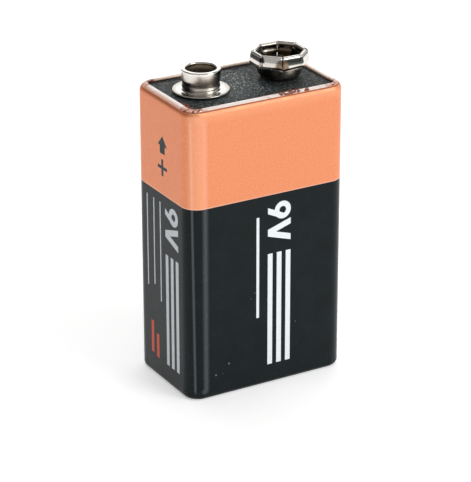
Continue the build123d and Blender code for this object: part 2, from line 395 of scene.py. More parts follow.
fibre_dark = (0.003, 0.005, 0.006)
fibre_light = (0.058, 0.069, 0.070)
# The sheen and glint colours are painted light, and the shade colour is painted shade.
painted_sheen_colour = (0.22, 0.24, 0.24)
fibre_shade = (0.004, 0.005, 0.005)
fibre_grain = 0.35
fibre_roughness = (0.40, 0.75)
fibre_gloss = 0.2
painted_glint_colour = (0.60, 0.64, 0.62)
glint_size = 0.36
glint_share = 0.26
drawn = (1, 0.6, 1)
sheen_middle = -1.5
sheen_fades = (2.0, 7.0)
sheen_starts = (-6.5, -2.0)
shade_from = 4.0
shade_to = 9.0
band_colour = (0.003, 0.003, 0.004)
band_x = 10.95
band_y = 5.70
band_softness = 0.10


def tinted(tree, under, mask, share, colour):
    """A colour laid over another by a share of a mask."""
    return mixed(tree, maths(tree, "MULTIPLY", mask, share), under, colour)


# A painted sheen makes the middle of the board a little lighter, with more
# painted glints, and painted shade makes its right part darker. Two black bands
# stand for the shade under the far lips.
material, tree, shader = new_material("top fibre board", (0.06, 0.065, 0.07), 0, 0.6)
place = object_place(tree)
drawn_out = add(tree, "VectorMath", {0: place, 1: drawn}, operation="MULTIPLY").outputs[0]
across = dot(tree, place, (1 / mm, 0, 0))
away = dot(tree, place, (0, 1 / mm, 0))
fibre = mixed(tree, grained(tree, drawn_out, fibre_grain, 0.0, 1.0), fibre_dark, fibre_light)
off_middle = maths(tree, "ABSOLUTE", maths(tree, "SUBTRACT", across, sheen_middle))
painted_sheen = maths(tree, "MULTIPLY", falling(tree, off_middle, *sheen_fades), rising(tree, away, *sheen_starts))
fibre = tinted(tree, fibre, painted_sheen, 0.15, painted_sheen_colour)
fibre = tinted(tree, fibre, rising(tree, across, shade_from, shade_to), 0.5, fibre_shade)
painted_glints = specked(tree, drawn_out, glint_size, glint_share)
painted_glints = maths(tree, "MULTIPLY", painted_glints, maths(tree, "MULTIPLY_ADD", painted_sheen, 0.75, 0.25))
fibre = mixed(tree, painted_glints, fibre, painted_glint_colour)
right_band = rising(tree, across, band_x, band_x + band_softness)
back_band = rising(tree, away, band_y, band_y + band_softness)
fibre = mixed(tree, maths(tree, "MAXIMUM", right_band, back_band), fibre, band_colour)
tree.links.new(fibre, shader.inputs["Base Color"])
tree.links.new(grained(tree, place, 0.5, *fibre_roughness), shader.inputs["Roughness"])
shader.inputs["Specular IOR Level"].default_value = fibre_gloss
relief(tree, shader, grained(tree, drawn_out, 0.25, 0.0, 1.0), 0.06 * mm)
dress("top_board", material)


# Positive terminal
# A male snap, pressed from one nickel-plated sheet: a flat flange, a beaded
# neck, and a head whose rim is turned down inside.
stud_x = -6.45 * mm
socket_x = 6.45 * mm
round_steps = 96


def bend(points, centre_r, centre_z, radius, start, stop, steps=6):
    """Adds a round stretch to an outline of radius and height points."""
    for n in range(steps + 1):
        angle = math.radians(start + (stop - start) * n / steps)
        points.append((centre_r + radius * math.cos(angle), centre_z + radius * math.sin(angle)))


def outline_mesh(points, closed):
    """A mesh of the outline alone, standing in the XZ plane."""
    mesh = bmesh.new()
    verts = [mesh.verts.new((r * mm, 0, board_top + z * mm)) for r, z in points]
    for a, b in zip(verts, verts[1:] + verts[:1] if closed else verts[1:]):
        mesh.edges.new((a, b))
    return mesh


def spun(points, steps=round_steps):
    """A solid turned from a closed outline."""
    mesh = outline_mesh(points, True)
    bmesh.ops.spin(
        mesh, geom=mesh.verts[:] + mesh.edges[:], axis=(0, 0, 1), cent=(0, 0, 0),
        angle=2 * math.pi, steps=steps, use_merge=True,
    )
    bmesh.ops.remove_doubles(mesh, verts=mesh.verts, dist=0.001 * mm)
    bmesh.ops.recalc_face_normals(mesh, faces=mesh.faces)
    return mesh


def new_piece(name, mesh, material, slot, *nodes, smooth_angle=30):
    """An object of the battery from a finished mesh."""
    data = bpy.data.meshes.new(name)
    mesh.to_mesh(data)
    mesh.free()
    data.materials.append(material)
    data.shade_smooth()
    data.set_sharp_from_angle(angle=math.radians(smooth_angle))
    piece = bpy.data.objects.new(name, data)
    bpy.context.scene.collection.objects.link(piece)
    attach(piece, "root")
    if nodes:
        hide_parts(*nodes)
    return piece


plate_plain = (0.70, 0.68, 0.65)
plate_bright = (0.80, 0.77, 0.715)
plate_warm = (0.62, 0.57, 0.50)
# The mouth's painted shade, dark to brown.
mouth_shade_dark = (0.02, 0.017, 0.014)
mouth_shade_light = (0.36, 0.31, 0.24)
dull_roughness = 0.4
cup_top = 46.3


def nickel_plate(name, axis_x, roughness, mouth, satin, painted_shades, painted_mouth_light):
    """Bright plate, dull and painted dark and brown in its mouth as shade, with a satin band
    and patches of painted shade, dark reflection and highlight.

    The mouth is its radius, the level up to which it is dull, and how much narrower
    it is in the cup. The satin band is its two levels and its roughness.
    """
    smooth, rough = roughness
    radius, level, narrowed = mouth
    material, tree, shader = new_material(name, plate_plain, 1, smooth)
    place = object_place(tree)
    aside = add(tree, "VectorMath", {0: place, 1: (axis_x, 0, 0)}, operation="SUBTRACT").outputs[0]
    flat = add(tree, "VectorMath", {0: aside, 1: (1 / mm, 1 / mm, 0)}, operation="MULTIPLY").outputs[0]
    reach = add(tree, "VectorMath", {0: flat}, operation="LENGTH").outputs["Value"]
    height = dot(tree, place, (0, 0, 1 / mm))
    in_cup = falling(tree, height, cup_top, cup_top + 0.2)
    within = falling(tree, maths(tree, "MULTIPLY_ADD", in_cup, narrowed, reach), radius, radius + 0.1)
    outside = maths(tree, "SUBTRACT", 1.0, within)
    deep = maths(tree, "MULTIPLY", within, falling(tree, height, level, level + 0.4))

    def painted_patch(under, side, azimuth, least, full, low, high, colour):
        """A patch of painted light over a colour, on one side, towards an azimuth, between two levels."""
        toward = (math.cos(math.radians(azimuth)), math.sin(math.radians(azimuth)), 0)
        there = rising(tree, dot(tree, flat, toward), least, full)
        there = maths(tree, "MULTIPLY", there, rising(tree, height, low, low + 0.2))
        there = maths(tree, "MULTIPLY", there, falling(tree, height, high - 0.15, high))
        return mixed(tree, maths(tree, "MULTIPLY", there, side), under, colour)

    plate = mixed(tree, grained(tree, place, 3.0, 0.0, 0.7), plate_bright, plate_warm)
    # Patches of painted shade and dark reflection on the plate outside the mouth.
    for shade_patch in painted_shades:
        plate = painted_patch(plate, outside, *shade_patch)
    # The mouth is painted dark and brown as shade, and patches of painted shade and highlight lie inside
    # it.
    mouth_shade = mixed(tree, grained(tree, place, 0.7, 0.0, 1.0), mouth_shade_dark, mouth_shade_light)
    plate = mixed(tree, deep, plate, mouth_shade)
    for mouth_patch in painted_mouth_light:
        plate = painted_patch(plate, within, *mouth_patch)
    tree.links.new(plate, shader.inputs["Base Color"])

    low, high, satin_roughness = satin
    over_foot = rising(tree, height, low, low + 0.3)
    in_band = maths(tree, "MULTIPLY", over_foot, falling(tree, height, high - 0.2, high))
    worn = grained(tree, place, 0.8, smooth, rough)
    worn = maths(tree, "MAXIMUM", worn, maths(tree, "MULTIPLY", in_band, satin_roughness))
    worn = maths(tree, "MAXIMUM", worn, maths(tree, "MULTIPLY", deep, dull_roughness))
    tree.links.new(worn, shader.inputs["Roughness"])
    relief(tree, shader, grained(tree, place, 0.9, 0.0, 1.0), 0.003 * mm)
    return material


# The stud's outline, in millimetres from its axis and above the board. A bend
# is its middle's radius and height, and its own radius.
rivet_hole = 1.10
sheet = 0.20
foot = 3.05
flange = 4.10
flange_edge = 0.12
flange_lift = 0.22
groove = (2.93, 0.59, 0.26)
bead = (2.53, 0.93, 0.23)
neck = 2.66
neck_root = (neck + 0.25, 1.27, 0.25)
neck_flare = [
    (2.675, 1.42), (2.705, 1.60), (2.745, 1.85), (2.785, 2.2), (2.81, 2.55), (2.835, 2.9), (2.855, 3.2),
]
head = 2.86
opening = 2.21
rim = 0.20
rim_level = 3.54 - rim
hollow_bend = 0.25
points = [(rivet_hole, 0.0), (foot, 0.0), (flange - 1.6 * flange_edge, 0.195)]
bend(points, flange - flange_edge, flange_lift + flange_edge, flange_edge, -70, 85, 9)
points += [(flange - 0.45, 0.435), (3.40, 0.385), (foot, 0.335)]
bend(points, *groove, -90, -175, 6)
bend(points, *bead, -45, 45, 8)
bend(points, *neck_root, -150, -180, 3)
points += neck_flare
bend(points, head - rim, rim_level, rim, 0, 90, 7)
bend(points, opening + rim, rim_level, rim, 90, 180, 7)
bend(points, opening - hollow_bend, sheet + hollow_bend, hollow_bend, 0, -90, 5)
points.append((rivet_hole, sheet))
stud = spun(points)
bmesh.ops.translate(stud, verts=stud.verts, vec=(stud_x, 0, 0))

# Each painted patch is the azimuth it faces, how far out that way it starts and is
# full, its lowest and highest level over the table, and its colour. Outside the
# mouth the stud's patches are painted shade and dark reflections, and inside it a
# painted warm highlight.
all_round = (-9, -8)
stud_painted_shades = [
    (-75, 1.8, 2.4, 45.5, 47.0, (0.56, 0.48, 0.40)),
    (0, *all_round, 45.35, 46.05, (0.42, 0.36, 0.30)),
    (0, *all_round, 44.58, 44.86, (0.12, 0.11, 0.10)),
    (-35, 1.7, 2.6, 44.9, 47.75, (0.07, 0.068, 0.062)),
    (-175, 2.1, 2.6, 44.7, 46.3, (0.02, 0.02, 0.019)),
]
stud_painted_mouth_light = [(60, 1.2, 1.9, 46.95, 47.62, (0.95, 0.82, 0.58))]
stud_roughness = (0.08, 0.15)
stud_mouth = (2.25, 46.6, 0.0)
stud_satin = (44.6, 47.5, 0.28)
stud_plate = nickel_plate(
    "stud plate", stud_x, stud_roughness, stud_mouth, stud_satin, stud_painted_shades, stud_painted_mouth_light
)
new_piece("stud", stud, stud_plate, "nickel_plate", "positive_stud")


# Rivets
# Two tubular brass rivets that clamp each terminal and its lead strip to the
# top board, spread over at both ends.
rivet_finish = plain_finish(
    "rivet brass", (0.55, 0.44, 0.24), (0.72, 0.60, 0.36),
    metallic=1, rough=(0.22, 0.40), grain_size=0.8, depth=0.006 * mm,
)
board_thickness = 1.0
strip = 0.15
bore = 0.70
shank = 1.05
tail = 1.50
tail_bend = 0.11
crown = 1.58
crown_bend = 0.12
bore_bend = 0.25
rivet_steps = 64
tail_top = -board_thickness - strip
rivets = (("stud_rivet", stud_x, "positive_rivet"), ("socket_rivet", socket_x, "negative_rivet"))
for name, x, node in rivets:
    points = [(bore, tail_top - 2 * tail_bend), (1.15, tail_top - 0.20)]
    bend(points, 1.49, tail_top - tail_bend, tail_bend, -60, 60, 6)
    points += [(tail, tail_top), (shank, tail_top), (shank, sheet), (crown, sheet)]
    bend(points, crown, sheet + crown_bend, crown_bend, -90, 60, 7)
    bend(points, bore + bore_bend, sheet, bore_bend, 80, 180, 7)
    rivet = spun(points, rivet_steps)
    bmesh.ops.translate(rivet, verts=rivet.verts, vec=(x, 0, 0))
    new_piece(name, rivet, rivet_finish, "rivet_brass", node)


# Negative terminal
# A female snap of one nickel-plated sheet: a round cup that turns eight-sided,
# slit into fingers that run in to a contact ring and fold over and down outside.
fingers = 8
half_step = math.pi / fingers
cup = 3.14
cup_bend = 1.10
cup_bottom = 0.10
contact = 2.80
inner_fold = 3.26
fold_bend = 0.30
fold_level = 3.70
flap = 3.85
finger_steps = 12
points = [(rivet_hole, cup_bottom), (2.0, cup_bottom)]
bend(points, cup - cup_bend, cup_bottom + cup_bend, cup_bend, -90, 0, 11)
for n in range(7):
    points.append((cup, 1.30 + 0.11 * n))
bend(points, contact + 0.55, 2.62, 0.55, 150, 180, 3)
bend(points, contact + 0.45, 2.82, 0.45, 180, 135, 4)
bend(points, inner_fold - 0.35, 3.40, 0.35, -38, 0, 3)
bend(points, inner_fold + fold_bend, fold_level, fold_bend, 180, 90, 7)
bend(points, flap - 0.43, fold_level, fold_bend, 80, 15, 7)
points += [
    (flap - 0.07, 3.50), (flap - 0.02, 3.25), (flap + 0.03, 2.95), (flap + 0.065, 2.6), (flap + 0.08, 2.21),
]
socket = outline_mesh(points, False)
bmesh.ops.rotate(socket, verts=socket.verts, cent=(0, 0, 0), matrix=Matrix.Rotation(-half_step, 3, "Z"))
bmesh.ops.spin(
    socket, geom=socket.verts[:] + socket.edges[:], axis=(0, 0, 1), cent=(0, 0, 0),
    angle=2 * half_step, steps=finger_steps, use_merge=False,
)


def eased(value, low, high):
    """From 0 at low to 1 at high, smoothly."""
    t = min(max((value - low) / (high - low), 0), 1)
    return t * t * (3 - 2 * t)


# The sector goes from round to flat as it rises, and draws in at its sides
# above the cup, for the slits.
slit = 0.13
flat_from = 0.95
flat_at = 1.85
slit_from = 1.80
slit_at = 1.94
for vert in socket.verts:
    radius = math.hypot(vert.co.x, vert.co.y) / mm
    angle = math.atan2(vert.co.y, vert.co.x)
    level = (vert.co.z - board_top) / mm
    flatness = eased(level, flat_from, flat_at)
    gap = slit / 2 / math.cos(half_step) * eased(level, slit_from, slit_at)
    side = radius * math.tan(half_step)
    sideways = radius * math.tan(angle) * (side - gap) / side
    vert.co.x = radius * ((1 - flatness) * math.cos(angle) + flatness) * mm
    vert.co.y = (radius * (1 - flatness) * math.sin(angle) + flatness * sideways) * mm
bmesh.ops.spin(
    socket, geom=socket.verts[:] + socket.edges[:] + socket.faces[:], axis=(0, 0, 1), cent=(0, 0, 0),
    angle=2 * math.pi, steps=fingers, use_duplicate=True,
)
bmesh.ops.remove_doubles(socket, verts=socket.verts, dist=0.004 * mm)
bmesh.ops.recalc_face_normals(socket, faces=socket.faces)

# Each finger sits a little lower, further out or more askew than the next.
finger_drop = (0.05, 0.0, 0.08, 0.03, 0.06, 0.02, 0.0, 0.09)
finger_reach = (0.0, 0.03, -0.05, 0.02, 0.03, -0.03, 0.02, -0.04)
finger_skew = (0.03, -0.05, 0.06, 0.0, -0.05, 0.03, 0.09, -0.06)
for vert in socket.verts:
    level = (vert.co.z - board_top) / mm
    number = round(math.atan2(vert.co.y, vert.co.x) / (2 * half_step)) % fingers
    outward = Vector((math.cos(number * 2 * half_step), math.sin(number * 2 * half_step), 0))
    sideways = vert.co.dot(Vector((-outward.y, outward.x, 0)))
    raised = eased(level, 2.3, 3.9)
    folded = eased(vert.co.dot(outward) / mm, 3.4, 3.85) * eased(level, 2.0, 2.3)
    vert.co += outward * finger_reach[number] * mm * max(raised, folded)
    vert.co.z -= finger_drop[number] * mm * max(raised, folded)
    vert.co.z += finger_skew[number] * sideways * folded * eased(-level, -3.6, -2.6)
socket_turn = math.radians(-2.5)
bmesh.ops.rotate(socket, verts=socket.verts, cent=(0, 0, 0), matrix=Matrix.Rotation(socket_turn, 3, "Z"))
bmesh.ops.translate(socket, verts=socket.verts, vec=(socket_x, 0, 0))

# Its patches of painted shade and dark reflection outside the mouth, and of
# painted shade and highlight inside it, given as the stud's are.
cup_shade_levels = (44.0, 46.35)
socket_painted_shades = [
    (0, *all_round, *cup_shade_levels, (0.60, 0.55, 0.47)),
    (-25, 1.8, 3.0, *cup_shade_levels, (0.04, 0.037, 0.033)),
    (-165, 1.6, 3.0, *cup_shade_levels, (0.04, 0.035, 0.03)),
    (-2.5, 3.4, 3.5, 47.8, 48.4, (0.05, 0.048, 0.045)),
    (132.5, 3.5, 3.6, 47.6, 48.12, (0.07, 0.065, 0.06)),
    (42.5, 3.2, 3.3, 47.9, 48.32, (0.24, 0.19, 0.14)),
    (0, *all_round, 44.0, 44.75, (0.02, 0.02, 0.02)),
    (267.5, 3.45, 3.6, 46.95, 48.02, (0.07, 0.075, 0.07)),
    (243, 3.85, 4.0, 46.2, 47.95, (0.22, 0.16, 0.11)),
    (177.5, 3.45, 3.6, 47.2, 48.06, (0.02, 0.02, 0.02)),
    (-47.5, 3.45, 3.6, 47.6, 48.06, (0.06, 0.06, 0.06)),
]
socket_painted_mouth_light = [
    (42.5, 2.55, 2.7, 46.4, 48.0, (0.15, 0.115, 0.08)),
    (70, 2.85, 2.95, 46.4, 47.9, (0.004, 0.004, 0.004)),
    (132.5, 2.55, 2.7, 46.4, 47.75, (0.006, 0.006, 0.006)),
    (-2.5, 2.55, 2.7, 46.4, 47.75, (0.006, 0.006, 0.006)),
    (100, 2.75, 2.85, 46.7, 47.5, (0.75, 0.72, 0.66)),
]
socket_roughness = (0.05, 0.10)
socket_mouth = (3.28, 47.85, 0.28)
socket_satin = (44.0, 46.3, 0.25)
socket_plate = nickel_plate(
    "socket plate", socket_x, socket_roughness, socket_mouth, socket_satin, socket_painted_shades, socket_painted_mouth_light
)
piece = new_piece("socket", socket, socket_plate, "nickel_plate", "negative_socket")
thick = piece.modifiers.new("sheet", "SOLIDIFY")
thick.thickness = sheet * mm
thick.offset = 0


# Case
# One steel sheet, drawn round the cells and rolled in over both boards. Its
# print is near-black below and satin copper above.
case_width = 25.9 * mm
case_depth = 16.3 * mm
case_height = 44.55 * mm
corner = 2.45 * mm
top_roll = 1.10 * mm
bottom_roll = 0.75 * mm
top_lip = 1.37 * mm
top_lip_drop = 0.15 * mm
bottom_lip = 1.60 * mm
steel = 0.30 * mm
corner_steps = 20
top_roll_steps = 12
bottom_roll_steps = 8
columns = 40
cross_columns = 22
rows = 20
case = bmesh.new()
bmesh.ops.create_cube(case, size=1)
bmesh.ops.scale(case, verts=case.verts, vec=(case_width, case_depth, case_height))
bmesh.ops.translate(case, verts=case.verts, vec=(0, 0, case_height / 2))


def rounded(mesh, edges, radius, segments):
    """Rounds edges of a mesh."""
    bmesh.ops.bevel(
        mesh, geom=edges, offset=radius, offset_type="OFFSET", affect="EDGES",
        segments=segments, profile=0.5, material=-1, clamp_overlap=False,
    )


upright_edges = [e for e in case.edges if abs(e.verts[0].co.z - e.verts[1].co.z) > case_height / 2]
rounded(case, upright_edges, corner, corner_steps)


def end_face(mesh, level):
    """The largest flat face at a level."""
    flat = [f for f in mesh.faces if abs(f.calc_center_median().z - level) < 0.001 * mm]
    return max(flat, key=lambda f: f.calc_area())


rounded(case, end_face(case, case_height).edges[:], top_roll, top_roll_steps)
rounded(case, end_face(case, 0).edges[:], bottom_roll, bottom_roll_steps)
top_face = end_face(case, case_height)
bottom_face = end_face(case, 0)
bmesh.ops.inset_region(
    case, faces=[top_face], thickness=top_lip - top_roll, depth=-top_lip_drop, use_even_offset=True
)
bmesh.ops.inset_region(
    case, faces=[bottom_face], thickness=bottom_lip - bottom_roll, use_even_offset=True
)
bmesh.ops.delete(case, geom=[top_face, bottom_face], context="FACES")


def cut_at(mesh, axis, places):
    """Adds loops across a mesh at places along an axis."""
    normal = Vector((0, 0, 0))
    normal[axis] = 1
    for value in places:
        bmesh.ops.bisect_plane(
            mesh, geom=mesh.verts[:] + mesh.edges[:] + mesh.faces[:],
            dist=0.0001 * mm, plane_co=normal * value, plane_no=normal,
        )


flat_x = case_width / 2 - corner
flat_y = case_depth / 2 - corner
wall_height = case_height - bottom_roll - top_roll
cut_at(case, 0, [flat_x * (2 * n / columns - 1) for n in range(1, columns)])
cut_at(case, 1, [flat_y * (2 * n / cross_columns - 1) for n in range(1, cross_columns)])
cut_at(case, 2, [bottom_roll + wall_height * n / rows for n in range(1, rows)])
bmesh.ops.recalc_face_normals(case, faces=case.faces)


print_edge = 0.02


def crisp(tree, value, limit):
    """1 where a value is under a limit, with the edge of a print."""
    return falling(tree, value, limit - print_edge, limit + print_edge)


def both(tree, *masks):
    """Where all of some masks are set."""
    result = masks[0]
    for mask in masks[1:]:
        result = maths(tree, "MULTIPLY", result, mask)
    return result


def either(tree, *masks):
    """Where any of some masks is set."""
    result = masks[0]
    for mask in masks[1:]:
        result = maths(tree, "MAXIMUM", result, mask)
    return result


def between(tree, value, low, high, soft=print_edge):
    """1 where a value is between two levels."""
    over_low = rising(tree, value, low - soft, low + soft)
    return both(tree, over_low, falling(tree, value, high - soft, high + soft))


# The bar group marks a straight stroke with square ends on a flat print.
bar, given, wanted = new_group(
    "bar",
    [("Place", "Vector"), ("Start", "Vector"), ("End", "Vector"), ("Width", "Float")],
    [("Mask", "Float")],
)
way = add(bar, "VectorMath", {0: given["End"], 1: given["Start"]}, operation="SUBTRACT").outputs[0]
far = add(bar, "VectorMath", {0: way}, operation="LENGTH").outputs["Value"]
unit = add(bar, "VectorMath", {0: way}, operation="NORMALIZE").outputs[0]
aside = add(bar, "VectorMath", {0: given["Place"], 1: given["Start"]}, operation="SUBTRACT").outputs[0]
along = add(bar, "VectorMath", {0: aside, 1: unit}, operation="DOT_PRODUCT").outputs["Value"]
crossed = add(bar, "VectorMath", {0: aside, 1: unit}, operation="CROSS_PRODUCT").outputs[0]
off = add(bar, "VectorMath", {0: crossed}, operation="LENGTH").outputs["Value"]
half = maths(bar, "MULTIPLY", given["Width"], 0.5)
begun = rising(bar, along, -print_edge, print_edge)
ended = crisp(bar, maths(bar, "SUBTRACT", along, far), 0.0)
thin = crisp(bar, maths(bar, "SUBTRACT", off, half), 0.0)
bar.links.new(both(bar, begun, ended, thin), wanted["Mask"])


def stroke(tree, place, start, end, width):
    """A mask of one bar of a print."""
    node = add(tree, "Group", node_tree=bar)
    tree.links.new(place, node.inputs["Place"])
    node.inputs["Start"].default_value = (*start, 0)
    node.inputs["End"].default_value = (*end, 0)
    node.inputs["Width"].default_value = width
    return node.outputs["Mask"]


# The mark group draws a plain 9V and three rules, along X from its start and
# with the letters' height along Y.
letter_height = 3.8
bowl_middle = (1.55, 2.45, 0)
bowl_inner = 0.55
bowl_outer = 1.35
tail_width = 0.84
letter_width = 0.90
rule_from = 8.0
rule_to = 25.6
rule_width = 0.8
rule_heights = (0.4, 1.9, 3.4)
mark, given, wanted = new_group("mark", [("Place", "Vector")], [("Mask", "Float")])
mark_place = given["Place"]
level = add(mark, "SeparateXYZ", {0: mark_place}).outputs["Y"]
off_bowl = add(mark, "VectorMath", {0: mark_place, 1: bowl_middle}, operation="DISTANCE")
bowl = between(mark, off_bowl.outputs["Value"], bowl_inner, bowl_outer)
bowl_tail = stroke(mark, mark_place, (2.42, 2.35), (1.12, -0.4), tail_width)
left_stroke = stroke(mark, mark_place, (3.35, 4.2), (4.78, -0.3), letter_width)
right_stroke = stroke(mark, mark_place, (6.11, 4.2), (4.68, -0.3), letter_width)
letters = either(mark, bowl, bowl_tail, left_stroke, right_stroke)
letters = both(mark, letters, between(mark, level, 0, letter_height))
rules = [stroke(mark, mark_place, (rule_from, h), (rule_to, h), rule_width) for h in rule_heights]
mark.links.new(either(mark, letters, *rules), wanted["Mask"])

# Where a point of the case is, which face it is on, and how many degrees round
# a corner.
face_reach = 0.05
material, tree, shader = new_material("printed case", (0.02, 0.02, 0.02), 0, 0.3)
place = object_place(tree)
x = dot(tree, place, (1 / mm, 0, 0))
y = dot(tree, place, (0, 1 / mm, 0))
z = dot(tree, place, (0, 0, 1 / mm))
out_x = maths(tree, "ABSOLUTE", x)
out_y = maths(tree, "ABSOLUTE", y)
on_front = crisp(tree, y, face_reach - case_depth / 2 / mm)
on_left = crisp(tree, x, face_reach - case_width / 2 / mm)
at_left_end = falling(tree, x, -10, -9)
beyond_x = maths(tree, "SUBTRACT", out_x, flat_x / mm)
beyond_y = maths(tree, "SUBTRACT", out_y, flat_y / mm)
round_corner = maths(tree, "MULTIPLY", maths(tree, "ARCTAN2", beyond_y, beyond_x), 180 / math.pi)

# Copper and near-black halves, with a thin pale line on the copper's edge.
# Painted highlights make the copper lighter on the front's roll and round the
# left corners, and two painted highlight lines run from top to bottom down each
# left corner. Just under the lip there the copper is paler in a patch.
colour_line = 29.9
line_width = 0.10
copper_dark = (0.72, 0.245, 0.114)
copper_light = (0.86, 0.308, 0.156)
painted_roll_highlight = (1.0, 0.48, 0.27)
painted_corner_light = (1.0, 0.46, 0.27)
copper_corner_highlight = (1.0, 0.66, 0.50)
copper_pale_patch = (1.0, 0.62, 0.33)
copper_line = (1.0, 0.74, 0.62)
black_dark = (0.003, 0.0065, 0.0075)
black_light = (0.005, 0.0095, 0.0115)
black_corner_highlight = (0.145, 0.165, 0.172)
highlight_angle = 53.0
highlight_lean = 0.23
highlight_half = 3.6
highlight_softness = 2.6
wide_highlight_arc = (83.9, 98.9, 6.0)
highlight_levels = (1.2, 43.0, 0.4)
lit_arc = (34, 84, 8)
pale_patch_arc = (50, 74, 10)
pale_patch_levels = (43.75, 44.1, 0.2)
roll_levels = (42.3, 43.8)
roll_front = (-7.4, -6.6)
is_copper = rising(tree, z, colour_line - 0.03, colour_line + 0.03)
on_roll = both(tree, rising(tree, z, *roll_levels), falling(tree, y, *roll_front))
lit_corner = both(tree, between(tree, round_corner, *lit_arc), at_left_end)
on_wall = both(tree, between(tree, z, *highlight_levels), at_left_end)
leaning = maths(tree, "MULTIPLY_ADD", z, highlight_lean, -highlight_angle)
off_highlight = maths(tree, "ADD", round_corner, leaning)
thin_highlight = both(tree, between(tree, off_highlight, -highlight_half, highlight_half, highlight_softness), on_wall)
wide_highlight = both(tree, between(tree, round_corner, *wide_highlight_arc), on_wall)
corner_highlights = either(tree, thin_highlight, maths(tree, "MULTIPLY", wide_highlight, 0.8))
under_lip = between(tree, z, *pale_patch_levels)
pale_patch = both(tree, between(tree, round_corner, *pale_patch_arc), under_lip, at_left_end)
copper = mixed(tree, grained(tree, place, 0.22, 0.0, 1.0), copper_dark, copper_light)
# Painted highlights on the front's roll and round the left corners, and two painted highlight lines down
# each left corner.
copper = tinted(tree, copper, on_roll, 0.35, painted_roll_highlight)
copper = tinted(tree, copper, lit_corner, 0.4, painted_corner_light)
copper = tinted(tree, copper, thin_highlight, 0.25, copper_corner_highlight)
copper = tinted(tree, copper, wide_highlight, 0.2, copper_corner_highlight)
copper = tinted(tree, copper, pale_patch, 0.6, copper_pale_patch)
copper = tinted(tree, copper, between(tree, z, colour_line, colour_line + line_width), 0.5, copper_line)
black = mixed(tree, grained(tree, place, 3.0, 0.0, 1.0), black_dark, black_light)
# The same painted highlight lines on the black half.
black = tinted(tree, black, corner_highlights, 0.5, black_corner_highlight)
case_colour = mixed(tree, is_copper, black, copper)

# White print on the front's black half, grey and red print on the left side's,
# and dark polarity marks on the left side's copper half.
print_white = (0.80, 0.84, 0.86)
print_grey = (0.58, 0.62, 0.65)
print_red = (0.62, 0.085, 0.045)
print_dark = (0.035, 0.052, 0.060)
front_top = 28.8
left_top = 28.9
front_place = add(tree, "CombineXYZ", {
    "X": maths(tree, "SUBTRACT", front_top, z), "Y": maths(tree, "ADD", x, 0.2),
}).outputs[0]
left_place = add(tree, "CombineXYZ", {
    "X": maths(tree, "SUBTRACT", left_top, z), "Y": maths(tree, "SUBTRACT", -0.9, y),
}).outputs[0]
front_mark = add(tree, "Group", {"Place": front_place}, node_tree=mark).outputs["Mask"]
front_rule = stroke(tree, front_place, (2.0, -1.66), (17.7, -1.66), 0.45)
left_mark = add(tree, "Group", {"Place": left_place}, node_tree=mark).outputs["Mask"]
left_rules = [
    stroke(tree, left_place, (0.4, h), (end, h), 0.30)
    for h, end in ((-1.5, 16.1), (-3.4, 14.0), (-5.4, 14.8))
]
red_bars = [
    stroke(tree, left_place, (start, h), (end, h), 0.75)
    for h, start, end in ((-4.3, 20.2, 25.3), (-2.7, 21.8, 25.6))
]

arrow_tip = 38.79
arrow_neck = 37.29
arrow_slope = 0.9
face_place = add(tree, "CombineXYZ", {"X": y, "Y": z}).outputs[0]
shaft = stroke(tree, face_place, (-0.32, 36.11), (-0.32, 37.4), 1.44)
off_tip = maths(tree, "ABSOLUTE", maths(tree, "ADD", y, 0.36))
half_head = maths(tree, "MULTIPLY", maths(tree, "SUBTRACT", arrow_tip, z), arrow_slope)
in_head = crisp(tree, maths(tree, "SUBTRACT", off_tip, half_head), 0.0)
arrow_head = both(tree, in_head, rising(tree, z, arrow_neck - print_edge, arrow_neck + print_edge))
plus = [
    stroke(tree, face_place, (-0.28, 32.72), (-0.28, 35.26), 0.60),
    stroke(tree, face_place, (-1.63, 33.98), (1.08, 33.98), 0.50),
]
white_print = both(tree, either(tree, front_mark, front_rule), on_front)
grey_print = both(tree, either(tree, left_mark, *left_rules), on_left)
red_print = both(tree, either(tree, *red_bars), on_left)
polarity = both(tree, either(tree, shaft, arrow_head, *plus), on_left)
case_colour = mixed(tree, white_print, case_colour, print_white)
case_colour = mixed(tree, grey_print, case_colour, print_grey)
case_colour = mixed(tree, red_print, case_colour, print_red)
case_colour = mixed(tree, polarity, case_colour, print_dark)
printed = either(tree, white_print, grey_print, red_print, polarity)

# Pale specks of dust on the front, and two painted highlight spots by the near
# bottom corner: where each is, its radius, how soft its edge is, and its colour.
dust_pale = (0.26, 0.29, 0.30)
dust_grey = (0.14, 0.16, 0.17)
dust_faint = (0.10, 0.11, 0.12)
corner_highlight_grey = (0.06, 0.068, 0.072)
dust_from = -7.9
upright_place = add(tree, "CombineXYZ", {"X": x, "Y": z}).outputs[0]
on_dusty_side = crisp(tree, y, dust_from)
for spot, radius, soft, colour in (
    ((-6.66, 4.95), 0.11, 0.04, dust_pale),
    ((-8.83, 3.59), 0.10, 0.04, dust_pale),
    ((-7.67, 3.57), 0.07, 0.04, dust_faint),
    ((4.54, 9.08), 0.08, 0.04, dust_grey),
    ((-2.36, 15.17), 0.08, 0.04, dust_grey),
    ((-2.98, 14.38), 0.07, 0.04, dust_faint),
    # Two soft grey spots of painted highlight where the corner's highlight lines end.
    ((-10.75, 1.33), 0.30, 0.25, corner_highlight_grey),
    ((-11.75, 1.15), 0.20, 0.15, corner_highlight_grey),
):
    off_spot = add(tree, "VectorMath", {0: upright_place, 1: (*spot, 0)}, operation="DISTANCE")
    in_spot = falling(tree, off_spot.outputs["Value"], radius - soft, radius + soft)
    case_colour = mixed(tree, both(tree, in_spot, on_dusty_side), case_colour, colour)

